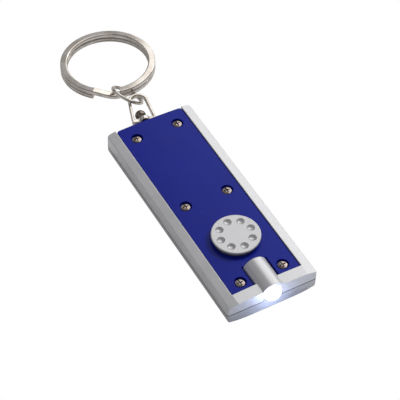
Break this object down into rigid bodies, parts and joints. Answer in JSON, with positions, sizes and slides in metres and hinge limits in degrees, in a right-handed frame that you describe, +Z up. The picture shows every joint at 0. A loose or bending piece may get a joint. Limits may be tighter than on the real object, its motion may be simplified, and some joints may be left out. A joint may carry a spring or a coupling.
{
  "type": "keychain flashlight",
  "caption": "Flat pocket flashlight with a round push button, one LED under a half-round hood, screwed cover plate, swivel and split key ring.",
  "frame": {"origin": "middle of the case's flat underside, which is the face that the flashlight lies on", "axes": "+Z up out of the button's face, -Y where the light shines, +Y towards the key ring, +X to the right when looking along +Y"},
  "size_m": [0.0261, 0.1017, 0.008],
  "materials": {
    "frame_plastic": "silver paint on plastic, satin",
    "lower_plastic": "silver paint on plastic, satin",
    "plate_plastic": "dark blue, semi-gloss",
    "button_plastic": "silver paint on plastic, satin",
    "screw_steel": "nickel plated",
    "nickel": "nickel plated, polished",
    "lens_epoxy": "clear cast epoxy, lit from inside",
    "phosphor": "yellow silicone over the chip",
    "lead_wire": "tinned",
    "solder": "bright tin",
    "board_laminate": "green solder mask",
    "chip_ceramic": "black glaze",
    "switch_plastic": "black",
    "thin_steel": "bright sheet",
    "contact_metal": "phosphor bronze, nickel flash",
    "cell_steel": "drawn steel",
    "gasket_plastic": "black",
    "cell_fill": "packed electrode, out of sight"
  },
  "bodies": {
    "case": {"circuit_board": "board_laminate", "cover_plate": "plate_plastic", "cover_screws": "screw_steel", "led_chip": "phosphor", "led_lead_negative": "lead_wire", "led_lead_positive": "lead_wire", "led_lens": "lens_epoxy", "lower_cell_can": "cell_steel", "lower_cell_cap": "cell_steel", "lower_cell_core": "cell_fill", "lower_cell_gasket": "gasket_plastic", "lower_shell": "lower_plastic", "negative_contact": "contact_metal", "positive_contact": "contact_metal", "resistor": "chip_ceramic", "resistor_ends": "solder", "solder_joints": "solder", "switch_dome": "thin_steel", "switch_housing": "switch_plastic", "switch_plate": "thin_steel", "upper_cell_can": "cell_steel", "upper_cell_cap": "cell_steel", "upper_cell_core": "cell_fill", "upper_cell_gasket": "gasket_plastic", "upper_frame": "frame_plastic"},
    "button": {"push_button": "button_plastic", "switch_stem": "switch_plastic"},
    "pin": {"swivel_pin": "nickel"},
    "stirrup": {"swivel_stirrup": "nickel"},
    "link": {"jump_ring": "nickel"},
    "ring": {"split_ring": "nickel"}
  },
  "joints": [
    {"name": "button_press", "type": "slide", "parent": "case", "child": "button", "axis": [0, 0, -1], "range_m": [0, 0.00035], "stiffness_N_per_m": 3000, "deforming": ["switch_dome"]},
    {"name": "swivel_spin", "type": "hinge", "parent": "case", "child": "pin", "pos_m": [0, 0.03075, 0.00335], "axis": [0, 1, 0], "continuous": true},
    {"name": "stirrup_tilt", "type": "hinge", "parent": "pin", "child": "stirrup", "pos_m": [0, 0.03305, 0.00335], "axis": [0.9703, -0.2419, 0], "range_deg": [-16, 16]},
    {"name": "link_swing", "type": "hinge", "parent": "stirrup", "child": "link", "pos_m": [0.00153, 0.04155, 0.00297], "axis": [0.8637, 0.2369, 0.4448], "range_deg": [-20, 30]},
    {"name": "ring_swing", "type": "hinge", "parent": "link", "child": "ring", "pos_m": [0.00217, 0.04527, 0.00296], "axis": [0.9894, -0.009, 0.1451], "range_deg": [-30, 45]}
  ]
}
